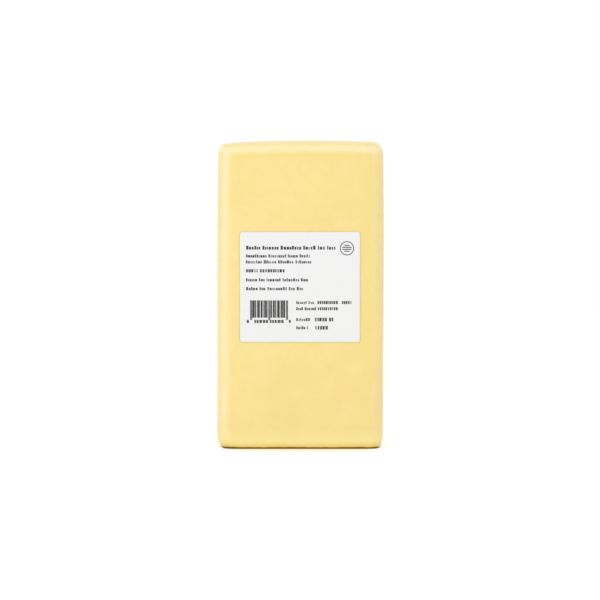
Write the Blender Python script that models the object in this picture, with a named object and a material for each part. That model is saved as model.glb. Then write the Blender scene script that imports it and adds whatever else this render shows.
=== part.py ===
"""A block of pale cheddar that stands on its small end, with a paper label on its front.

Metres, +Z up. The origin is in the middle of the base and the label faces -Y.
"""

import math

import bmesh
import bpy

# Overall size of the block.
WIDTH = 0.140
DEPTH = 0.060
HEIGHT = 0.2568

# Rounding of its edges.
TALL_LEFT_EDGE = 0.0120
TALL_RIGHT_EDGE = 0.0100
TOP_EDGE = 0.0076
BASE_EDGE = 0.0013
EDGE_STEPS = 6

# Panels that each face is cut into, so that it can bulge.
PANELS_WIDE = 10
PANELS_DEEP = 4
PANELS_HIGH = 15

# The foot: just above the base the walls are drawn in before they reach it.
FOOT_HEIGHT = 0.0085
FOOT_PANELS = 4
FOOT_EASE = 0.35
FOOT_IN_FRONT = 0.0010
FOOT_IN_LEFT = 0.0044
FOOT_IN_RIGHT = 0.0031

# How far the soft faces fall away from flat towards their edges.
FRONT_FALL_ACROSS = 0.0010
FRONT_FALL_UP = 0.0007
SIDE_FALL = 0.0005
FACE_POWER = 3.0
WIDEST_HEIGHT = 0.145
NARROWER_AT_TOP = 0.0009
NARROWER_AT_BASE = 0.0001
LEAN = 0.0004

# The top is a low dome whose left end has sunk further than its right end.
CREST_X = 0.007
DOME_LEFT = 0.0028
DOME_RIGHT = 0.0014
DOME_DEEP = 0.0005
DOME_POWER = 2.6
DOME_FADE = 6.0

# The label, stuck to the front a little left of the middle.
LABEL_WIDTH = 0.1006
LABEL_HEIGHT = 0.0926
LABEL_X = -0.0004
LABEL_Z = 0.1364
LABEL_CORNER = 0.0018
LABEL_CORNER_STEPS = 4
LABEL_THICKNESS = 0.0004
LABEL_GAP = 0.0003
LABEL_PANELS_WIDE = 10
LABEL_PANELS_HIGH = 9

CHEESE_COLOUR = (0.955, 0.760, 0.310, 1.0)
CHEESE_ROUGHNESS = 0.42
PAPER_COLOUR = (0.890, 0.890, 0.885, 1.0)
PAPER_ROUGHNESS = 0.55

# Two places nearer than this count as the same.
SAME_PLACE = 1e-6


def clear_scene():
    for thing in list(bpy.data.objects):
        bpy.data.objects.remove(thing)


def make_material(name, colour, roughness):
    material = bpy.data.materials.new(name)
    material.use_nodes = True
    shader = material.node_tree.nodes["Principled BSDF"]
    shader.inputs["Base Color"].default_value = colour
    shader.inputs["Roughness"].default_value = roughness
    shader.inputs["Metallic"].default_value = 0.0
    return material


def add_object(name, bm, material):
    """Puts a bmesh into the scene as one smooth named object."""
    mesh = bpy.data.meshes.new(name)
    bm.normal_update()
    bm.to_mesh(mesh)
    bm.free()
    mesh.materials.append(material)
    mesh.shade_smooth()
    thing = bpy.data.objects.new(name, mesh)
    bpy.context.scene.collection.objects.link(thing)
    return thing


def foot_share(z):
    """One at the base, falling evenly with height and easing to nothing at the top of the foot."""
    below = max(0.0, 1.0 - z / FOOT_HEIGHT)
    return below**2 / (below + FOOT_EASE) * (1.0 + FOOT_EASE)


def fall_of_front(x, z):
    """Depth by which the front or back face lies inside its flat plane."""
    across = abs(x) / (WIDTH / 2)
    up = abs(z - HEIGHT / 2) / (HEIGHT / 2)
    bulge = FRONT_FALL_ACROSS * across**FACE_POWER + FRONT_FALL_UP * up**FACE_POWER
    return bulge + FOOT_IN_FRONT * foot_share(z)


def fall_of_side(x, y, z):
    """Depth by which the left or right face lies inside its flat plane."""
    foot = FOOT_IN_LEFT if x < 0 else FOOT_IN_RIGHT
    deep = abs(y) / (DEPTH / 2)
    above = max(0.0, (z - WIDEST_HEIGHT) / (HEIGHT - WIDEST_HEIGHT))
    below = max(0.0, (WIDEST_HEIGHT - z) / WIDEST_HEIGHT)
    narrower = NARROWER_AT_TOP * above**2 + NARROWER_AT_BASE * below**2
    return SIDE_FALL * deep**FACE_POWER + narrower + foot * foot_share(z)


def fall_of_top(x, y):
    """Drop of the domed top below its crest."""
    if x < CREST_X:
        along = DOME_LEFT * ((CREST_X - x) / (WIDTH / 2 + CREST_X)) ** DOME_POWER
    else:
        along = DOME_RIGHT * ((x - CREST_X) / (WIDTH / 2 - CREST_X)) ** DOME_POWER
    return along + DOME_DEEP * (abs(y) / (DEPTH / 2)) ** 2


def soften(point):
    """Moves a point of the square box onto the softly bulging block."""
    x, y, z = point
    share_x = x / (WIDTH / 2)
    share_y = y / (DEPTH / 2)
    share_z = (z / HEIGHT) ** DOME_FADE
    point.x = x - share_x * fall_of_side(x, y, z) + LEAN * (2 * z / HEIGHT - 1)
    point.y = y - share_y * fall_of_front(x, z)
    point.z = z - share_z * fall_of_top(x, y)


def even_steps(low, high, count):
    """The places that divide a length into equal panels, without its two ends."""
    return [low + (high - low) * step / count for step in range(1, count)]


def cut_across(bm, axis, places):
    """Cuts every face of the box at the given places along one axis."""
    for place in places:
        point = [0.0, 0.0, 0.0]
        normal = [0.0, 0.0, 0.0]
        point[axis] = place
        normal[axis] = 1.0
        parts = bm.verts[:] + bm.edges[:] + bm.faces[:]
        bmesh.ops.bisect_plane(bm, geom=parts, plane_co=point, plane_no=normal)


def round_edges(bm, width, is_chosen):
    """Rounds the edges of the box whose middle passes the test."""
    chosen = []
    for edge in bm.edges:
        if is_chosen((edge.verts[0].co + edge.verts[1].co) / 2):
            chosen.append(edge)
    bmesh.ops.bevel(
        bm,
        geom=chosen,
        offset=width,
        offset_type="OFFSET",
        segments=EDGE_STEPS,
        profile=0.5,
        affect="EDGES",
        clamp_overlap=False,
    )


def rounded_box():
    """The square box, first with its tall edges rounded, then with its rims at the top and the base."""
    bm = bmesh.new()
    bmesh.ops.create_cube(bm, size=1.0)
    bmesh.ops.translate(bm, vec=(0, 0, 0.5), verts=bm.verts)
    bmesh.ops.scale(bm, vec=(WIDTH, DEPTH, HEIGHT), verts=bm.verts)
    for side, width in ((-1, TALL_LEFT_EDGE), (1, TALL_RIGHT_EDGE)):
        corner = WIDTH / 2 * side, DEPTH / 2
        round_edges(bm, width, lambda middle: math.dist((middle.x, abs(middle.y)), corner) < SAME_PLACE)
    round_edges(bm, TOP_EDGE, lambda middle: abs(middle.z - HEIGHT) < SAME_PLACE)
    round_edges(bm, BASE_EDGE, lambda middle: abs(middle.z) < SAME_PLACE)
    return bm


def make_cheese_block():
    bm = rounded_box()
    cut_across(bm, 0, even_steps(-WIDTH / 2, WIDTH / 2, PANELS_WIDE))
    cut_across(bm, 1, even_steps(-DEPTH / 2, DEPTH / 2, PANELS_DEEP))
    cut_across(bm, 2, even_steps(BASE_EDGE, FOOT_HEIGHT, FOOT_PANELS) + [FOOT_HEIGHT])
    cut_across(bm, 2, even_steps(FOOT_HEIGHT, HEIGHT, PANELS_HIGH))
    for vertex in bm.verts:
        soften(vertex.co)
    return add_object("cheese_block", bm, make_material("cheddar", CHEESE_COLOUR, CHEESE_ROUGHNESS))


def make_label():
    """A paper sheet with round corners that follows the front face."""
    bm = bmesh.new()
    bmesh.ops.create_grid(bm, x_segments=LABEL_PANELS_WIDE, y_segments=LABEL_PANELS_HIGH, size=0.5)
    bmesh.ops.scale(bm, vec=(LABEL_WIDTH, LABEL_HEIGHT, 1.0), verts=bm.verts)
    corners = [vertex for vertex in bm.verts if len(vertex.link_edges) == 2]
    bmesh.ops.bevel(
        bm,
        geom=corners,
        affect="VERTICES",
        offset=LABEL_CORNER,
        segments=LABEL_CORNER_STEPS,
        profile=0.5,
    )
    for vertex in bm.verts:
        x = vertex.co.x + LABEL_X
        z = vertex.co.y + LABEL_Z
        vertex.co = (x, fall_of_front(x, z) - DEPTH / 2 - LABEL_GAP, z)
    bm.normal_update()
    if sum(face.normal.y for face in bm.faces) > 0:
        bmesh.ops.reverse_faces(bm, faces=bm.faces)
    label = add_object("label", bm, make_material("label paper", PAPER_COLOUR, PAPER_ROUGHNESS))
    paper = label.modifiers.new("paper thickness", "SOLIDIFY")
    paper.thickness = LABEL_THICKNESS
    paper.offset = 1.0
    return label


def main():
    clear_scene()
    make_cheese_block()
    make_label()


main()
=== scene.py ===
import math

import bpy
import numpy as np
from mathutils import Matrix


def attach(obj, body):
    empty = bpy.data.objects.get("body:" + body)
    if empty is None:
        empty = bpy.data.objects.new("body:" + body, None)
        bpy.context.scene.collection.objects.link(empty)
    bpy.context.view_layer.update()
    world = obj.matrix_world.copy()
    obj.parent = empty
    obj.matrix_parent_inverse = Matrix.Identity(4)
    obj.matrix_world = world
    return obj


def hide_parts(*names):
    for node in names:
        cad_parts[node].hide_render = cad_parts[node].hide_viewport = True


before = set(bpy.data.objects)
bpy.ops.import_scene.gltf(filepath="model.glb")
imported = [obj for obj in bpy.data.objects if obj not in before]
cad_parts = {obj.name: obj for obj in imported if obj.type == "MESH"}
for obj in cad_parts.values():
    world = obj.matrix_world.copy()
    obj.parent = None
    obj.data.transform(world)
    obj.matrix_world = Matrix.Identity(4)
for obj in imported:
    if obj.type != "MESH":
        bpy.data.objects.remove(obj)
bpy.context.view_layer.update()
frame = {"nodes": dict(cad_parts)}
print("frame loaded:", ", ".join(frame["nodes"]))

tiny = 1e-9           # keeps a division away from zero
millimetres = 1000    # in a metre


# Grids, roundings and closed shells

def fourSided(sheet):
    # the faces of one grid of point numbers, wound from its first axis to its second
    return np.stack([sheet[:-1, :-1], sheet[1:, :-1], sheet[1:, 1:], sheet[:-1, 1:]], axis=-1).reshape(-1, 4)


def latticeShell(wide, deep, high):
    # every point on the outside of a box of wide by deep by high cells, each point once, as shares
    # from -1 to 1 along the three axes, and the four-sided faces between them, all facing outwards
    steps = np.indices((wide + 1, deep + 1, high + 1))
    last = np.array([wide, deep, high])[:, None, None, None]
    skin = ((steps == 0) | (steps == last)).any(axis=0)
    number = np.full(skin.shape, -1)
    number[skin] = np.arange(skin.sum())
    sheets = [number[-1], number[0].T, number[:, 0], number[:, -1].T, number[:, :, -1], number[:, :, 0].T]
    return (2 * steps / last - 1)[:, skin], np.concatenate([fourSided(sheet) for sheet in sheets])


def crowded(shares, pull, reach):
    # brings lattice lines closer together towards the ends -1 and 1, where the roundings are: what is left
    # to the nearer end, less what an exponential holds back, stretched again to fill the half
    left = 1 - np.abs(shares)
    held = left - pull * reach * (1 - np.exp(-left / reach))
    whole = 1 - pull * reach * (1 - math.exp(-1 / reach))
    return np.sign(shares) * (1 - held / whole)


def squareRing(a, b):
    # how far out a point lies in rings of squares: the larger of its two shares
    return np.maximum(np.maximum(np.abs(a), np.abs(b)), tiny)


def roundedRectangle(a, b, halfWide, halfDeep, radius):
    # the outline for a direction (a, b) with its larger share at one: the rectangle's own point, whose
    # part inside a corner square is brought to the radius; also gives the way out of the outline
    x, y = a * halfWide, b * halfDeep
    pastX = np.clip(np.abs(x) - (halfWide - radius), 0, None) * np.sign(x)
    pastY = np.clip(np.abs(y) - (halfDeep - radius), 0, None) * np.sign(y)
    reach = np.maximum(np.hypot(pastX, pastY), tiny)
    outX, outY = pastX / reach, pastY / reach
    return x - pastX + outX * radius, y - pastY + outY * radius, outX, outY


def roundCorner(inward, along, radius):
    # turns a square corner into a quarter circle: both numbers are distances from the corner along its two
    # faces, and a point nearer than the radius is moved onto the circle round (radius, radius)
    gapIn = np.clip(radius - inward, 0, None)
    gapAlong = np.clip(radius - along, 0, None)
    scale = radius / (np.hypot(gapIn, gapAlong) + tiny)
    near = (gapIn > 0) & (gapAlong > 0)
    return np.where(near, radius - gapIn * scale, inward), np.where(near, radius - gapAlong * scale, along)


def outwardAtPoints(points, faces):
    # at each point the sum of its faces' diagonals crossed, brought to length one
    corner = points[faces]
    across = np.cross(corner[:, 2] - corner[:, 0], corner[:, 3] - corner[:, 1])
    total = np.zeros_like(points)
    np.add.at(total, faces, across[:, None, :])
    return total / np.linalg.norm(total, axis=1, keepdims=True)


def lookUp(value, table):
    # straight lines between a table's pairs of value and result
    return np.interp(value, *zip(*table))


def addPiece(name, points, faces, material, smooth=True):
    # an object at the origin, with its place in its mesh
    mesh = bpy.data.meshes.new(name)
    mesh.from_pydata(points, [], faces)
    mesh.materials.append(material)
    if smooth:
        mesh.shade_smooth()
    piece = bpy.data.objects.new(name, mesh)
    bpy.context.scene.collection.objects.link(piece)
    return piece


# Shader maths as Python sums

class Signal:
    # wraps a socket; an expression on signals adds the Math nodes that work it out
    def __init__(self, recipe, socket):
        self.recipe = recipe
        self.socket = socket

    def __add__(self, other):
        return self.recipe.maths("ADD", self, other)

    def __sub__(self, other):
        return self.recipe.maths("SUBTRACT", self, other)

    def __rsub__(self, other):
        return self.recipe.maths("SUBTRACT", other, self)

    def __mul__(self, other):
        return self.recipe.maths("MULTIPLY", self, other)

    __radd__ = __add__
    __rmul__ = __mul__


class Recipe:
    # the nodes of a material or a world: its shader's fixed values are set here, what varies is joined later
    def __init__(self, owner, shader, **fixed):
        owner.use_nodes = True
        self.owner = owner
        self.tree = owner.node_tree
        self.shader = self.tree.nodes[shader]
        for socket, value in fixed.items():
            self.shader.inputs[socket.replace("_", " ")].default_value = value

    def give(self, **varying):
        for socket, signal in varying.items():
            self.tree.links.new(signal.socket, self.shader.inputs[socket.replace("_", " ")])
        return self.owner

    def node(self, kind, settings=None, values=None, output=0):
        # one node: its settings first, then a value or a link for each of its sockets
        made = self.tree.nodes.new(kind)
        for setting, value in (settings or {}).items():
            if setting == "stops":
                self.setStops(made.color_ramp, value)
            else:
                setattr(made, setting, value)
        for socket, value in (values or {}).items():
            if isinstance(value, Signal):
                self.tree.links.new(value.socket, made.inputs[socket])
            else:
                made.inputs[socket].default_value = value
        return Signal(self, made.outputs[output])

    def setStops(self, ramp, stops):
        while len(ramp.elements) < len(stops):
            ramp.elements.new(1.0)
        for element, (place, value) in zip(ramp.elements, stops):
            element.position = place
            element.color = (value, value, value, 1.0)

    def maths(self, operation, first, second):
        return self.node("ShaderNodeMath", {"operation": operation}, {0: first, 1: second})

    def vector(self, operation, first, second=(0, 0, 0), output="Vector"):
        sockets = {0: first, 1: second}
        return self.node("ShaderNodeVectorMath", {"operation": operation}, sockets, output=output)

    def mix(self, share, first, second, kind="RGBA"):
        # a Mix node has sockets of its own for each kind of value: two that go in and one that comes out
        one, two, out = {"VECTOR": (4, 5, 1), "RGBA": (6, 7, 2)}[kind]
        sockets = {0: share, one: first, two: second}
        return self.node("ShaderNodeMix", {"data_type": kind}, sockets, output=out)

    def ramp(self, value, stops):
        return self.node("ShaderNodeValToRGB", {"stops": stops}, {"Fac": value})

    def rampOver(self, distance, stops):
        # a ramp over a distance in metres, with its stops at millimetres
        reach = stops[-1][0]
        return self.ramp(distance * (millimetres / reach), [(place / reach, share) for place, share in stops])

    def place(self, scale=(1, 1, 1), turn=(0, 0, 0)):
        # the point's own place on the piece in metres, stretched and turned
        point = self.node("ShaderNodeTexCoord", output="Object")
        return self.node("ShaderNodeMapping", None, {"Vector": point, "Scale": scale, "Rotation": turn})

    def along(self, place, axis):
        return self.node("ShaderNodeSeparateXYZ", None, {0: place}, output=axis)

    def beyond(self, place, middle, halves, corner):
        # how far a place lies outside a box with round corners: the length of what its distances from the
        # middle have over the box's halves, with the corner's radius taken off the halves and off the length
        past = self.vector("ABSOLUTE", self.vector("SUBTRACT", place, middle))
        past = self.vector("SUBTRACT", past, tuple(half - corner for half in halves))
        past = self.vector("MAXIMUM", past, (0, 0, 0))
        return self.vector("LENGTH", past, output="Value") - corner

    def attribute(self, name):
        return self.node("ShaderNodeAttribute", {"attribute_name": name}, output="Fac")

    def ray(self, kind):
        return self.node("ShaderNodeLightPath", output=kind)

    def noise(self, place, scale, detail, roughness=0.5, output=0):
        values = {"Vector": place, "Scale": scale, "Detail": detail, "Roughness": roughness}
        return self.node("ShaderNodeTexNoise", None, values, output=output)

    def bump(self, height, distance, strength):
        values = {"Height": height, "Distance": distance, "Strength": strength}
        return self.node("ShaderNodeBump", None, values)


def newMaterial(name, **fixed):
    return Recipe(bpy.data.materials.new(name), "Principled BSDF", **fixed)


# The block of cheddar

block = {
    "width": 0.140,
    "depth": 0.060,
    "height": 0.2567,
    "cells": (112, 50, 206),                  # how finely its skin is divided
    "crowd": (0.85, 0.06),                    # how much closer the cells lie at its edges, and how far in
    "tallEdges": (0.012, 0.010),              # roundings of the edges, left and right
    "topEdges": (0.0062, 0.0076, 0.0079),     # round the top: at the left end, along the sides, at the right
    "topEdgesLevel": 0.85,                    # share of the half width that has the sides' rounding
    "baseEdge": 0.0013,
    "footHeight": 0.0085,                     # just above the base the walls are drawn in
    "footEase": 0.35,
    "footFront": 0.0010,
    "footEnds": (0.0044, 0.0031),             # left and right
    "fallAcross": 0.0010,                     # how far the faces fall away from flat towards their edges
    "fallUp": 0.0007,
    "fallSide": 0.0005,
    "fallPower": 3,
    "widestHeight": 0.145,
    "narrowerTop": (0.0005, 0.0009),          # left and right
    "narrowerBase": 0.0001,
    "lean": 0.0004,
    "crestX": 0.007,                          # the low dome of the top, more sunken at its left end
    "domeEnds": (0.0028, 0.0014),
    "domeDeep": 0.0005,
    "domePower": 2.6,
    "domeFade": 6,                            # how quickly the dome's fall dies out down the walls
    "waves": 6,                               # slow waves left by the press
    "waveLength": (0.035, 0.09),
    "wavePhase": (0, 6),
    "unevenness": 0.00016,
    "dents": 46,                              # shallow dents at random all over
    "dentRadius": (0.0014, 0.0034),
    "dentDepth": (0.00005, 0.00016),
    "dentSlope": 1.6,
    "frontDents": [                           # x, z, radius and depth of those that show on the front
        (-0.0387, 0.2385, 0.0020, 0.00016),
        (-0.0086, 0.2393, 0.0022, 0.00018),
        (-0.0070, 0.2045, 0.0024, 0.00014),
        (0.0198, 0.2252, 0.0018, 0.00013),
        (-0.0070, 0.0645, 0.0021, 0.00014),
        (0.0122, 0.0327, 0.0020, 0.00016),
        (0.0264, 0.0436, 0.0024, 0.00015),
        (0.0465, 0.0361, 0.0026, 0.00018),
        (-0.0279, 0.0235, 0.0021, 0.00014),
    ],
    "reliefFrom": 0.002,                      # height above which the waves and dents have their full depth
    "seed": 21,
    "patchScale": 22,                         # how often each pattern repeats in a metre
    "breakupScale": 48,
    "swirlScale": 60,
    "cloudScale": 85,
    "curdScale": 85,
    "fineScale": 700,
    "grainScale": 1400,
    "deepYellow": (0.764, 0.602, 0.228, 1),   # the body of the cheese, in broad patches of two shades
    "paleYellow": (0.782, 0.625, 0.246, 1),
    "yellower": 2.0,                          # how fast the deeper shade gains towards the right
    "bloom": (0.800, 0.660, 0.300, 1),        # small cloudy patches
    "seam": (0.720, 0.540, 0.185, 1),         # where the curds have knitted together
    "fleck": (0.850, 0.730, 0.420, 1),
    "rubbed": (0.790, 0.690, 0.428, 1),       # painted highlight on the rounded edges, pale where light catches them
    "paintedShade": (0.755, 0.607, 0.203, 1),         # painted shade: the deeper line beside the highlighted edges
    "labelShade": (0.640, 0.547, 0.218, 1),   # the thin line of shade round the label
    "paintedFootLight": (0.828, 0.700, 0.306, 1),         # painted light: the paler band where the foot begins
    "paintedFootShade": (0.830, 0.560, 0.085, 1),        # painted shade: the foot turns deeper yellow towards the floor
    "paintedContactShadow": (0.150, 0.074, 0.0, 1),         # painted contact shadow: the dark line along the floor
    # how much there is of a colour: pairs of its pattern's value and the share
    "paleShare": ((0.36, 0.0), (0.64, 1.0)),
    "bloomShare": ((0.45, 0.0), (0.75, 0.30)),
    "fleckShare": ((0.62, 0.0), (0.80, 0.35)),
    "breakupShare": ((0.30, 0.72), (0.70, 1.0)),
    "knit": ((0.0, 1.0), (0.12, 0.0)),        # how strongly a seam shows, by how far off it is
    "seamShare": 0.12,
    "seamBend": 0.012,
    # the same by millimetres away from the label, and above the floor
    "shadeShare": ((0.0, 0.7), (0.6, 0.6), (1.7, 0.0)),
    "paintedFootLightShare": ((3.0, 0.0), (5.5, 0.75), (7.5, 0.75), (10.4, 0.45), (17.0, 0.0)),
    "paintedFootShadeShare": ((0.8, 0.85), (5.0, 0.0)),
    "paintedContactShadowShare": ((1.1, 0.95), (2.0, 0.0)),
    "footWander": 0.0010,                     # how far these bands of the foot wander up and down
    "underside": ((-0.999, 0), (-0.97, 1)),   # the last two end where the skin faces down this much
    # how much painted highlight an edge has by how far it has turned, as the sine, with painted shade below
    # nothing: the upright ones and the one round the top
    "paintedLightLeft": (
        (0, 0), (0.15, 0.15), (0.29, 0.33), (0.43, 0.58), (0.57, 1.0), (0.71, 0.62), (0.95, 0.35), (1, 0),
    ),
    "paintedLightRight": (
        (0, 0), (0.14, 0.12), (0.27, 0.25), (0.42, 0.30), (0.60, 0.34), (0.75, 0.34), (0.9, 0.30), (1, 0),
    ),
    "paintedLightTop": (
        (0, 0), (0.13, 0.14), (0.24, 0.37), (0.34, 0.70), (0.56, 1.0), (0.77, 0.40), (0.88, -0.3), (1, 0),
    ),
    "leftToRight": ((-0.2, 1), (0.2, 0)),     # share of the left table, by how far the skin faces right
    "paintedLightBehind": ((-0.2, 1), (0.4, 0.30)),   # share of the painted highlight, by how far the skin faces back
    "paintedLightUp": (0.75, 1),                    # share of the upright edges' painted highlight at the base and the top
    "paintedLightFrom": 0.004,                      # how far above the foot it is whole
    # the painted shade line, by millimetres in from the top rounding and from the right one
    "paintedShadeTop": ((0, 0), (0.6, 0.8), (1.8, 0.8), (4.0, 0)),
    "paintedShadeRight": ((0, 0), (1.5, 0.8), (4.5, 0.8), (9.0, 0)),
    "paintedShadeUp": (0.3, 1),                       # share of the right one at the base and at the top
    "paintedShadeLimit": 0.1,                         # none where the other edge has more painted highlight than this
    "roughness": 0.46,
    "patchRoughness": 0.10,
    "fineRoughness": 0.08,
    "coat": 0.35,
    "fineRelief": 0.35,                       # beside the clouds' relief of one
    "seamRelief": 0.12,
    "bumpHeight": 0.00012,
    "bumpStrength": 0.6,
}


def footShare(z):
    # one at the base; falls evenly with height and eases to nothing at the top of the foot
    below = np.clip(1 - z / block["footHeight"], 0, 1)
    return below**2 / (below + block["footEase"]) * (1 + block["footEase"])


def fallOfFront(x, z):
    # how deep the front lies inside its flat plane: powers of the shares across and up, and the foot
    across = np.abs(x) / (block["width"] / 2)
    up = np.abs(z - block["height"] / 2) / (block["height"] / 2)
    bulge = block["fallAcross"] * across ** block["fallPower"] + block["fallUp"] * up ** block["fallPower"]
    return bulge + block["footFront"] * footShare(z)


def fallOfSide(x, y, z):
    # the same for the left and right faces: a power of the share towards the front or the back, the squares
    # of the shares up and down from where they are widest, and the foot
    above = np.clip((z - block["widestHeight"]) / (block["height"] - block["widestHeight"]), 0, None)
    below = np.clip(1 - z / block["widestHeight"], 0, None)
    bulge = block["fallSide"] * (np.abs(y) / (block["depth"] / 2)) ** block["fallPower"]
    narrower = np.where(x < 0, *block["narrowerTop"]) * above**2 + block["narrowerBase"] * below**2
    return bulge + narrower + np.where(x < 0, *block["footEnds"]) * footShare(z)


def fallOfTop(x, y):
    # how far the dome has dropped below its crest: a power of the share of the way to each end, and the
    # square of the share of the way to the front or the back
    half, crest = block["width"] / 2, block["crestX"]
    toLeft = np.clip((crest - x) / (half + crest), 0, None)
    toRight = np.clip((x - crest) / (half - crest), 0, None)
    left, right = block["domeEnds"]
    across = left * toLeft ** block["domePower"] + right * toRight ** block["domePower"]
    return across + block["domeDeep"] * (y / (block["depth"] / 2)) ** 2


def blockForm(shares):
    # a square ring through each lattice point is laid on the rounded outline; the share up the wall and
    # the ring's distance inside the rim run through the rounded rim; then every face is let fall
    a, b, c = crowded(shares, *block["crowd"])
    halfWide, halfDeep, height = block["width"] / 2, block["depth"] / 2, block["height"]
    ring = squareRing(a, b)
    outlineX, outlineY, outX, outY = roundedRectangle(
        a / ring, b / ring, halfWide, halfDeep, np.where(a < 0, *block["tallEdges"]),
    )
    inward = (1 - ring) * halfDeep
    up = (c + 1) / 2 * height
    left, long, right = block["topEdges"]
    level = block["topEdgesLevel"]
    topEdge = lookUp(outlineX / halfWide, ((-1, left), (-level, long), (level, long), (1, right)))
    upper = up > height / 2
    edge = np.where(upper, topEdge, block["baseEdge"])
    inset, fromRim = roundCorner(inward, np.where(upper, height - up, up), edge)
    shrink = np.where(inward > edge, (halfDeep - inward) / (halfDeep - edge), 1)
    x = (outlineX - outX * np.minimum(inset, edge)) * shrink
    y = (outlineY - outY * np.minimum(inset, edge)) * shrink
    z = np.where(upper, height - fromRim, fromRim)
    return np.stack([
        x - x / halfWide * fallOfSide(x, y, z) + block["lean"] * (2 * z / height - 1),
        y - y / halfDeep * fallOfFront(x, z),
        z - (z / height) ** block["domeFade"] * fallOfTop(x, y),
    ], axis=1)


def reliefDepth(points, random):
    # how far the skin lies under the smooth form: the mean of some slow waves in random directions, each
    # from 0 to 1, and a bell-shaped dent at each of the chosen places
    count = block["waves"]
    waves = random.normal(size=(count, 3))
    lengths = random.uniform(*block["waveLength"], count)
    waves *= (2 * math.pi / lengths / np.linalg.norm(waves, axis=1))[:, None]
    heights = 0.5 + 0.5 * np.sin(points @ waves.T + random.uniform(*block["wavePhase"], count))
    depth = heights.mean(axis=1) * block["unevenness"]
    places = points[random.integers(0, len(points), block["dents"])]
    radii = random.uniform(*block["dentRadius"], block["dents"])
    depths = random.uniform(*block["dentDepth"], block["dents"])
    frontX, frontZ, frontRadii, frontDepths = np.array(block["frontDents"]).T
    onFront = np.stack([frontX, fallOfFront(frontX, frontZ) - block["depth"] / 2, frontZ], axis=1)
    places = np.vstack([places, onFront])
    radii = np.append(radii, frontRadii)
    depths = np.append(depths, frontDepths)
    for place, radius, deep in zip(places, radii, depths):
        depth += deep * np.exp(-block["dentSlope"] * ((points - place) ** 2).sum(axis=1) / radius**2)
    return depth * np.clip(points[:, 2] / block["reliefFrom"], 0, 1)


def edgeLightAndShade(points, outward):
    # how much painted highlight each point has: what the tables give for how far its edge has turned sideways
    # and upwards, added together up to one, and none in the foot; below nothing the painted shade line beside
    # the edges
    x, y, z = points.T
    outX, outY, outZ = outward.T
    ends, limit = (0, block["height"]), block["paintedShadeLimit"]
    left, right = lookUp(np.abs(outX), block["paintedLightLeft"]), lookUp(np.abs(outX), block["paintedLightRight"])
    upright = right + (left - right) * lookUp(outX, block["leftToRight"])
    upright *= np.interp(z, ends, block["paintedLightUp"])
    top = lookUp(np.clip(outZ, 0, 1), block["paintedLightTop"])
    both = np.where(top > 0, np.minimum(upright + top, 1), np.maximum(upright, top))
    aboveFoot = np.clip((z - block["footHeight"]) / block["paintedLightFrom"], 0, 1)
    fromTop = block["height"] - fallOfTop(x, y) - z - block["topEdges"][1]
    fromRight = block["width"] / 2 - x - block["tallEdges"][1]
    paintedShadeTop = lookUp(fromTop * millimetres, block["paintedShadeTop"]) * (upright < limit)
    paintedShadeRight = lookUp(fromRight * millimetres, block["paintedShadeRight"]) * np.clip(1 - top / limit, 0, 1)
    paintedShadeRight *= np.interp(z, ends, block["paintedShadeUp"])
    return both * lookUp(outY, block["paintedLightBehind"]) * aboveFoot - np.maximum(paintedShadeTop, paintedShadeRight)


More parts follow.
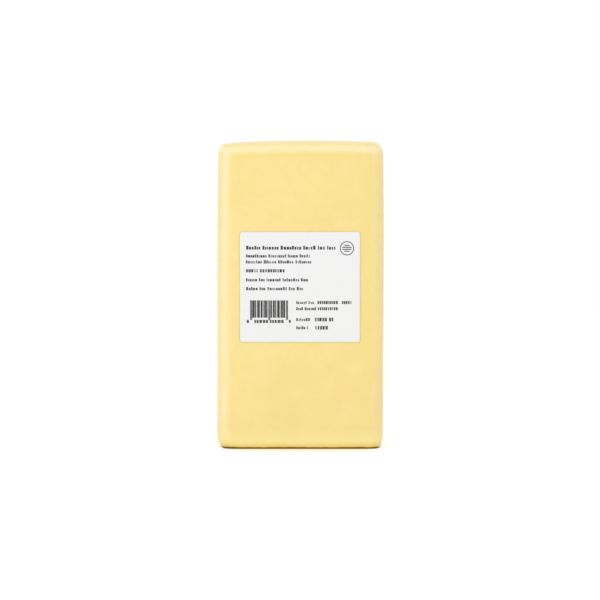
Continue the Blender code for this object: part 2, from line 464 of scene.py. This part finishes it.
def cheddarMaterial():
    # pale waxy cheese: broad patches of two shades, small clouds, the faint net of knitted curds, flecks, a
    # painted highlight on the edges with a painted shade line beside it, and a painted line of shade round
    # the label;
    # in the foot a painted pale band of light, then painted deeper-yellow shade, then the painted brown
    # contact shadow at the floor, of which the last two leave the underside out
    recipe = newMaterial(
        "cheddar", IOR=1.39, Coat_Roughness=0.36, Coat_IOR=1.4,
        Subsurface_Weight=0.12, Subsurface_Scale=0.004, Subsurface_Radius=(1.0, 0.55, 0.2),
    )
    place = recipe.place()
    patch = recipe.noise(place, block["patchScale"], detail=2)
    cloud = recipe.noise(place, block["cloudScale"], detail=3)
    grain = recipe.noise(place, block["grainScale"], detail=2, roughness=0.6)
    fine = recipe.noise(place, block["fineScale"], detail=4, roughness=0.6)
    highlightBreakup = recipe.noise(place, block["breakupScale"], detail=4, roughness=0.6)
    swirl = recipe.noise(place, block["swirlScale"], detail=2, output="Color")
    bent = recipe.mix(block["seamBend"], place, swirl, "VECTOR")
    sockets = {"Vector": bent, "Scale": block["curdScale"], "Randomness": 0.95}
    curd = recipe.node("ShaderNodeTexVoronoi", {"feature": "DISTANCE_TO_EDGE"}, sockets)
    knit = recipe.ramp(curd, block["knit"])
    rubbed = recipe.attribute("rubbed")
    wall = recipe.attribute("wall")

    broad = patch - recipe.along(place, "X") * block["yellower"]
    colour = recipe.mix(recipe.ramp(broad, block["paleShare"]), block["deepYellow"], block["paleYellow"])
    colour = recipe.mix(recipe.ramp(cloud, block["bloomShare"]), colour, block["bloom"])
    colour = recipe.mix(knit * block["seamShare"], colour, block["seam"])
    colour = recipe.mix(recipe.ramp(grain, block["fleckShare"]), colour, block["fleck"])
    # painted highlight along the rounded edges, broken up by noise
    colour = recipe.mix(rubbed * recipe.ramp(highlightBreakup, block["breakupShare"]), colour, block["rubbed"])
    # painted shade: the deeper line beside the highlighted edges
    colour = recipe.mix(0 - rubbed, colour, block["paintedShade"])

    middleX, middleZ = paper["middle"]
    halves = paper["width"] / 2, 2 * paper["corner"], paper["height"] / 2
    beyond = recipe.beyond(place, (middleX, -block["depth"] / 2, middleZ), halves, paper["corner"])
    colour = recipe.mix(recipe.rampOver(beyond, block["shadeShare"]), colour, block["labelShade"])

    height = recipe.along(place, "Z") + block["footWander"] * (cloud - 0.5)
    paintedFootShade = recipe.rampOver(height, block["paintedFootShadeShare"]) * wall
    paintedContactShadow = recipe.rampOver(height, block["paintedContactShadowShare"]) * wall
    # painted light: a paler band where the foot begins
    colour = recipe.mix(recipe.rampOver(height, block["paintedFootLightShare"]), colour, block["paintedFootLight"])
    # painted shade: deeper yellow towards the floor
    colour = recipe.mix(paintedFootShade, colour, block["paintedFootShade"])
    # painted contact shadow: a dark brown line at the floor
    colour = recipe.mix(paintedContactShadow, colour, block["paintedContactShadow"])

    relief = block["fineRelief"] * fine + cloud - block["seamRelief"] * knit
    uneven = block["patchRoughness"] * (patch - 0.5) + block["fineRoughness"] * fine
    return recipe.give(
        Base_Color=colour,
        Roughness=block["roughness"] + uneven,
        # no coat under the painted contact shadow
        Coat_Weight=block["coat"] * (1 - paintedContactShadow),
        Normal=recipe.bump(relief, block["bumpHeight"], block["bumpStrength"]),
    )


def makeBlock():
    shares, faces = latticeShell(*block["cells"])
    points = blockForm(shares)
    outward = outwardAtPoints(points, faces)
    points -= outward * reliefDepth(points, np.random.default_rng(block["seed"]))[:, None]
    piece = addPiece("cheeseBlock", points, faces, cheddarMaterial())
    values = {"rubbed": edgeLightAndShade(points, outward), "wall": lookUp(outward[:, 2], block["underside"])}
    for name, value in values.items():
        piece.data.attributes.new(name, "FLOAT", "POINT").data.foreach_set("value", value.astype(np.float32))
    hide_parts("cheese_block")
    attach(piece, "root")
    print("block:", len(points), "points")


# The paper label

paper = {
    "width": 0.1006,
    "height": 0.0926,
    "middle": (-0.0004, 0.1364),     # x and z of its middle on the front face
    "corner": 0.0018,
    "cells": (60, 2, 56),
    "crowd": (0.85, 0.06),           # how much closer the cells lie at its edges, and how far in
    "gap": 0.00006,                  # between the paper's back and the cheese
    "thickness": 0.00018,
    "softEdge": 0.00006,             # the sheared edge is slightly rounded
    "shades": ((0.700, 0.702, 0.703, 1), (0.719, 0.720, 0.720, 1)),   # slow clouds between these two
    "cloudScale": 45,
    "fibre": (0.681, 0.680, 0.677, 1),
    "fibreShare": ((0.45, 0.0), (0.75, 0.35)),
    "fibreScale": 900,
    "fibreStretch": (1, 1, 3),       # the fibres lie one way
    "fibreTurn": (0, 0.4, 0),
    "roughness": 0.44,
    "fibreRoughness": 0.10,
    "bumpHeight": 0.00003,
    "bumpStrength": 0.5,
}


def paperFace(x, z, lift=0.0):
    # the y of the label's printed face: the front of the cheese, brought forward by gap, thickness and lift
    return fallOfFront(x, z) - block["depth"] / 2 - paper["gap"] - paper["thickness"] - lift


def paperMaterial():
    # smooth white label stock with faint fibres
    recipe = newMaterial("labelPaper", IOR=1.45, Coat_Weight=0.08, Coat_Roughness=0.30)
    lying = recipe.place(paper["fibreStretch"], paper["fibreTurn"])
    fibre = recipe.noise(lying, paper["fibreScale"], detail=4, roughness=0.65)
    cloud = recipe.noise(recipe.place(), paper["cloudScale"], detail=3)
    colour = recipe.mix(cloud, *paper["shades"])
    return recipe.give(
        Base_Color=recipe.mix(recipe.ramp(fibre, paper["fibreShare"]), colour, paper["fibre"]),
        Roughness=paper["roughness"] + paper["fibreRoughness"] * fibre,
        Normal=recipe.bump(fibre, paper["bumpHeight"], paper["bumpStrength"]),
    )


def makeLabel():
    # a flat lattice box laid on the front: its rings follow the round-cornered outline, and the outermost
    # one steps in by the soft edge on the two faces
    shares, faces = latticeShell(*paper["cells"])
    (a, c), b = crowded(shares[::2], *paper["crowd"]), shares[1]
    middleX, middleZ = paper["middle"]
    halfWide, halfHigh = paper["width"] / 2, paper["height"] / 2
    ring = squareRing(a, c)
    x, z, outX, outZ = roundedRectangle(a / ring, c / ring, halfWide, halfHigh, paper["corner"])
    rim = (ring > 1 - tiny) * (b != 0) * paper["softEdge"]
    x, z = x * ring - outX * rim + middleX, z * ring - outZ * rim + middleZ
    depth = (1 + b) / 2 * paper["thickness"]
    piece = addPiece("labelPaper", np.stack([x, paperFace(x, z) + depth, z], axis=1), faces, paperMaterial())
    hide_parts("label")
    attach(piece, "root")
    print("label:", len(x), "points")


# The print, as plain marks with no lettering: uprights and blocks for words, bars, and a ring

ink = {
    "lift": 0.000035,                # it stands this far off the paper
    "sunk": 0.00001,                 # and starts this far inside it
    "shades": ((0.012, 0.012, 0.012, 1), (0.040, 0.039, 0.038, 1)),
    "scale": 600,
    "roughness": 0.50,
    "patchRoughness": 0.15,
}

words = {
    "regular": 0.47,                 # thickness of an upright as a share of a mark's width
    "bold": 0.50,
    "single": 1.3,                   # how much thicker it is where it stands alone
    "shorter": 0.25,                 # how far a block stops before its end, as a share of that thickness
    "small": 0.74,                   # height of a small mark as a share of a tall one
    "tallOnes": 0.2,                 # share of the marks inside a word that are tall
    "kinds": (0.38, 0.80),           # share that are blocks, and that are blocks or pairs of uprights
    "widths": (0.75, 1.25),          # of a mark and the gap after it, beside their mean
    "gap": 0.22,                     # after a mark, beside the same mean
    "wordGap": 0.6,                  # and so much more between two words
    "seed": 5,
    # left and right end and middle height in millimetres from the label's top left corner, height of a tall
    # mark, marks in each word, how many words are bold, and whether all marks are tall
    "lines": [
        (5.1, 80.2, 13.2, 3.2, (6, 7, 8, 5, 3, 4), 6, False),
        (5.1, 58.7, 20.1, 2.7, (10, 9, 5, 5), 1, False),
        (5.1, 59.8, 25.1, 2.7, (8, 6, 7, 8), 0, False),
        (5.1, 37.4, 32.6, 2.7, (5, 10), 0, True),
        (5.1, 56.9, 40.2, 2.7, (6, 3, 7, 8, 3), 0, False),
        (5.1, 52.6, 47.6, 2.7, (5, 3, 9, 3, 3), 0, False),
        (47.2, 62.1, 59.3, 2.6, (6, 3), 0, False),
        (65.0, 82.1, 59.3, 2.6, (10,), 0, True),
        (85.5, 93.6, 59.3, 2.6, (5,), 0, True),
        (47.2, 63.7, 64.5, 2.6, (4, 6), 0, False),
        (65.0, 82.1, 64.5, 2.6, (10,), 0, True),
        (47.2, 58.6, 73.6, 2.6, (7,), 0, False),
        (62.6, 78.3, 73.6, 3.1, (5, 2), 0, True),
        (47.2, 57.3, 80.5, 2.6, (5, 1), 0, False),
        (63.0, 73.6, 80.5, 3.1, (5,), 0, True),
        (5.6, 7.4, 75.2, 2.6, (1,), 0, True),
        (12.0, 23.5, 75.2, 2.6, (5,), 0, True),
        (24.9, 36.5, 75.2, 2.6, (5,), 0, True),
        (41.0, 42.7, 75.2, 2.6, (1,), 0, True),
    ],
}

bars = {
    "left": 8.6,                     # millimetres, as above
    "right": 40.1,
    "top": 57.5,
    "bottom": 72.1,
    "guardBottom": 73.9,
    "modules": 68,                   # the finest bar is one module wide
    "guards": (0, 33, 65),           # modules at which a pair of long bars stands
    "guardPair": (0, 2),             # and where the two stand from there
    "guardRoom": (-1, 4),            # the short bars leave this range free there
    "between": (4, 63),              # the short bars start at the first and end by the second
    "widths": (1, 2, 2, 3, 4),       # of the short bars and of their gaps, as often as listed
    "gaps": (1, 1, 1, 2),
    "spread": 0.29,                  # how far the ink spreads, in modules
    "seed": 8,
}

stamp = {
    "middle": (89.7, 13.7),          # millimetres, as above
    "radius": 5.55,
    "line": 0.70,
    "steps": 96,                     # round the ring
    "rows": ((-2.5, 4.4), (-0.85, 7.8), (0.85, 7.8), (2.5, 4.4)),   # how far below the middle, length
    "rowThickness": 0.80,
}


def onLabel(across, down):
    # millimetres from the label's top left corner as x and z in metres
    middleX, middleZ = paper["middle"]
    x = middleX - paper["width"] / 2 + across / millimetres
    return x, middleZ + paper["height"] / 2 - down / millimetres


def slabs(rectangles):
    # a thin closed block of ink on each rectangle (left, right, top, bottom in millimetres): four corners
    # just inside the paper and the same four lifted off it
    left, right, top, bottom = np.array(rectangles).T
    x, z = onLabel(np.stack([left, right, right, left], axis=1), np.stack([bottom, bottom, top, top], axis=1))
    x, z = np.tile(x, 2), np.tile(z, 2)
    lift = np.repeat([-ink["sunk"], ink["lift"]], 4)
    points = np.stack([x, paperFace(x, z, lift), z], axis=-1)
    box = np.array([(4, 5, 6, 7), (3, 2, 1, 0), (0, 1, 5, 4), (1, 2, 6, 5), (2, 3, 7, 6), (3, 0, 4, 7)])
    faces = box[None] + 8 * np.arange(len(rectangles))[:, None, None]
    return points.reshape(-1, 3), faces.reshape(-1, 4)


def wordMarks(left, right, middle, tall, counts, boldWords, allTall, random):
    # fills a line with words of plain marks, each a block, a pair of uprights or one upright; the first mark
    # of a word and some others are tall, and they share the line's length by random widths, with a wider
    # gap between words
    base = middle + tall / 2
    widths = [random.uniform(*words["widths"], count) for count in counts]
    gaps = words["wordGap"] * (len(counts) - 1) - words["gap"]
    pitch = (right - left) / (sum(width.sum() for width in widths) + gaps)
    at, marks = left, []
    for number, word in enumerate(widths):
        share = words["bold"] if number < boldWords else words["regular"]
        for place, width in enumerate(word * pitch):
            end = at + width - words["gap"] * pitch
            thick = share * (end - at)
            isTall = place == 0 or random.random() < words["tallOnes"] or allTall
            top = base - tall * (1 if isTall else words["small"])
            kind = random.random()
            if kind < words["kinds"][0]:
                marks.append((at, end - words["shorter"] * thick, top, base))
            elif kind < words["kinds"][1]:
                marks += [(at, at + thick, top, base), (end - thick, end, top, base)]
            else:
                centre, half = (at + end) / 2, words["single"] * thick / 2
                marks.append((centre - half, centre + half, top, base))
            at += width
        at += words["wordGap"] * pitch
    return marks


def barRectangles(random):
    # short upright bars with gaps, kept clear of the long guard pairs, each a little spread by the ink; the
    # widths are random, so that they stand for no number
    cells = [(guard + step, 1, bars["guardBottom"]) for guard in bars["guards"] for step in bars["guardPair"]]
    taken = {guard + step for guard in bars["guards"] for step in range(*bars["guardRoom"])}
    at, stop = bars["between"]
    while at < stop:
        wide = int(random.choice(bars["widths"]))
        if taken.isdisjoint(range(at, at + wide)):
            cells.append((at, wide, bars["bottom"]))
            at += wide + int(random.choice(bars["gaps"]))
        else:
            at += 1
    left, top, spread = bars["left"], bars["top"], bars["spread"]
    module = (bars["right"] - left) / bars["modules"]
    return [
        (left + (at - spread) * module, left + (at + wide + spread) * module, top, low)
        for at, wide, low in cells
    ]


def stampRing():
    # a flat ring: a small upright rectangle carried round a circle
    count = stamp["steps"]
    turn = 2 * math.pi / count * np.arange(count)[:, None]
    radius = stamp["radius"] + stamp["line"] * np.array([-0.5, 0.5, 0.5, -0.5])
    lift = np.repeat([-ink["sunk"], ink["lift"]], 2)
    x, z = onLabel(stamp["middle"][0] + radius * np.cos(turn), stamp["middle"][1] + radius * np.sin(turn))
    points = np.stack([x, paperFace(x, z, lift), z], axis=-1).reshape(-1, 3)
    number = np.arange(len(points)).reshape(count, -1)
    return points, fourSided(np.pad(number, ((0, 1), (0, 1)), mode="wrap"))


def stampRows():
    # the bars inside the ring, as rectangles about its upright middle line
    middleX, middleY = stamp["middle"]
    half = stamp["rowThickness"] / 2
    return [
        (middleX - length / 2, middleX + length / 2, middleY + down - half, middleY + down + half)
        for down, length in stamp["rows"]
    ]


def inkMaterial():
    # flat black print with a slightly uneven density
    recipe = newMaterial("printInk", IOR=1.45)
    patch = recipe.noise(recipe.place(), ink["scale"], detail=3)
    return recipe.give(
        Base_Color=recipe.mix(patch, *ink["shades"]),
        Roughness=ink["roughness"] + ink["patchRoughness"] * patch,
    )


def makePrint():
    material = inkMaterial()
    random = np.random.default_rng(words["seed"])
    marks = [mark for line in words["lines"] for mark in wordMarks(*line, random)]
    (ring, ringFaces), (rows, rowFaces) = stampRing(), slabs(stampRows())
    made = {
        "printWords": slabs(marks),
        "printBars": slabs(barRectangles(np.random.default_rng(bars["seed"]))),
        "printStamp": (np.vstack([ring, rows]), np.vstack([ringFaces, rowFaces + len(ring)])),
    }
    for name, (points, faces) in made.items():
        piece = addPiece(name, points, faces, material, smooth=False)
        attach(piece, "root")
        print(name + ":", len(faces), "faces")


# Floor, light and camera

studio = {
    "floorRadius": 1.6,
    "floorCells": (13, 64),          # out from its middle, and round it
    "floorFade": (0.6, 1.5),         # where the floor starts and ends melting into the white behind
    "floorSeen": 0.70,               # how white the floor is to the camera, with a glow, and as a reflector
    "floorGlow": 0.36,
    "floorBounce": 0.80,
    "footprint": (0.0648, 0.0268, 0.006),    # half the width and depth that the block stands on
    "footCorner": 0.0095,
    # painted light and shade on the floor: a warm bounce of light from the cheese around it, a stronger one
    # close to it and a painted contact shadow along its base, each with its share by millimetres away from
    # the block
    "paintedBounce": (0.93, 0.86, 0.73, 1),
    "paintedBounceShare": ((0.0, 1.0), (12.5, 0.95), (22.5, 0.60), (35.0, 0.10), (45.0, 0.0)),
    "paintedCloseBounce": (0.86, 0.70, 0.19, 1),
    "paintedCloseBounceShare": ((0.0, 1.0), (2.5, 0.65), (5.0, 0.0)),
    "floorContactShadow": (0.095, 0.060, 0.0, 1),
    "floorContactShadowShare": ((0.0, 1.0), (3.75, 0.0)),
    # what is left of the painted bounce, and of the other two, by millimetres to the left or right of the
    # middle
    "paintedBounceAcross": ((50.0, 1.0), (68.0, 0.0)),
    "paintedCloseAcross": ((64.0, 1.0), (65.5, 0.0)),
    "white": 1.0,                    # brightness of the white behind, and of the light from all round
    "ambient": 0.62,
    "mirrored": 0.90,                # brightness of the white in reflections
    # name, from where, towards what, size, power, whether it shows in reflections
    "lights": [
        ("softLeft", (-1.65, -1.25, 0.75), (0, 0, 0.13), 1.7, 24.0, True),
        ("softRight", (1.55, -1.45, 0.65), (0, 0, 0.13), 1.6, 19.3, False),
        ("softTop", (0.0, 0.35, 1.75), (0, 0, 0.2), 1.1, 6.5, True),
        ("backLeft", (-0.95, 1.9, 0.95), (0, 0, 0.15), 1.5, 12, False),
        ("backRight", (0.95, 1.9, 0.95), (0, 0, 0.15), 1.5, 12, False),
    ],
}

lens = {
    "distance": 8.0,
    "pitch": 4.3,                    # degrees above the horizon
    "frameWidth": 0.5053,            # what the picture spans at the block, in metres
    "aim": (-0.0004, 0.0, 0.12326),
    "sensor": 36.0,
    "farthest": 50.0,
}


def floorMaterial():
    # white to the camera and duller as a reflector, with painted bounce light and a painted contact shadow
    # beside the block, and clear far away
    black, white = (0, 0, 0, 1), (1, 1, 1, 1)
    recipe = newMaterial(
        "floor", Roughness=0.9, Specular_IOR_Level=0.0, Emission_Strength=studio["floorGlow"],
    )
    place = recipe.place()
    fromMiddle = recipe.vector("LENGTH", place, output="Value")
    start, end = studio["floorFade"]
    sockets = {"Value": fromMiddle, "From Min": start, "From Max": end, "To Min": 1.0, "To Max": 0.0}
    fade = recipe.node("ShaderNodeMapRange", {"interpolation_type": "SMOOTHSTEP"}, sockets)
    beside = recipe.along(recipe.vector("ABSOLUTE", place), "X")
    away = recipe.beyond(place, (0, 0, 0), studio["footprint"], studio["footCorner"])
    near = recipe.rampOver(away, studio["paintedBounceShare"]) * recipe.rampOver(beside, studio["paintedBounceAcross"])
    within = recipe.rampOver(beside, studio["paintedCloseAcross"])
    # painted bounce light from the cheese, a stronger one close to it, and a painted contact shadow along the
    # base
    hue = recipe.mix(near, white, studio["paintedBounce"])
    hue = recipe.mix(recipe.rampOver(away, studio["paintedCloseBounceShare"]) * within, hue, studio["paintedCloseBounce"])
    hue = recipe.mix(recipe.rampOver(away, studio["floorContactShadowShare"]) * within, hue, studio["floorContactShadow"])
    seen = recipe.ray("Is Camera Ray")
    bounce = (studio["floorBounce"],) * 3 + (1,)
    return recipe.give(
        Base_Color=recipe.mix(seen, bounce, recipe.mix(1 - studio["floorSeen"], hue, black)),
        Emission_Color=recipe.mix(seen, black, hue),
        Alpha=fade,
    )


def makeFloor():
    # a flat disc of rings, each point at its radius and turn
    out, around = studio["floorCells"]
    radii, turns = np.linspace(0, studio["floorRadius"], out + 1), np.linspace(0, 2 * math.pi, around + 1)
    radius, turn = np.meshgrid(radii, turns, indexing="ij")
    points = np.stack([radius * np.cos(turn), radius * np.sin(turn), 0 * radius], axis=-1)
    number = np.arange(turn.size).reshape(turn.shape)
    floor = addPiece("floor", points.reshape(-1, 3), fourSided(number), floorMaterial())


def pointAt(thing, place, target):
    # puts a lamp or camera at its place and turns it from straight down: up by the angle of the way to the
    # target, then round by its bearing
    thing.location = place
    way = np.array(target) - np.array(place)
    level = math.hypot(way[0], way[1])
    thing.rotation_euler = (math.atan2(level, -way[2]), 0, math.atan2(-way[0], way[1]))
    bpy.context.scene.collection.objects.link(thing)


def makeLights():
    # round soft lamps, and a white all round that is brighter in reflections and brightest to the camera
    for name, place, target, size, power, mirrored in studio["lights"]:
        light = bpy.data.lights.new(name, "AREA")
        light.shape = "DISK"
        light.size = size
        light.energy = power
        lamp = bpy.data.objects.new(name, light)
        pointAt(lamp, place, target)
        lamp.visible_camera = False
        lamp.visible_glossy = mirrored
    recipe = Recipe(bpy.data.worlds.new("white"), "Background", Color=(1, 1, 1, 1))
    strength = studio["ambient"] + (studio["mirrored"] - studio["ambient"]) * recipe.ray("Is Glossy Ray")
    strength = strength + (studio["white"] - strength) * recipe.ray("Is Camera Ray")
    bpy.context.scene.world = recipe.give(Strength=strength)


def makeCamera():
    # a long way off, with a lens that lets the frame's width at the aim fill the sensor
    camera = bpy.data.cameras.new("camera")
    camera.sensor_width = lens["sensor"]
    camera.lens = lens["sensor"] * lens["distance"] / lens["frameWidth"]
    camera.clip_end = lens["farthest"]
    pitch = math.radians(lens["pitch"])
    aim = np.array(lens["aim"])
    holder = bpy.data.objects.new("camera", camera)
    pointAt(holder, aim + lens["distance"] * np.array([0, -math.cos(pitch), math.sin(pitch)]), aim)
    bpy.context.scene.camera = holder
    bpy.context.scene.view_settings.view_transform = "Standard"


# Everything in order

makeBlock()
makeLabel()
makePrint()
makeFloor()
makeLights()
makeCamera()
print("stage, lights and camera set")
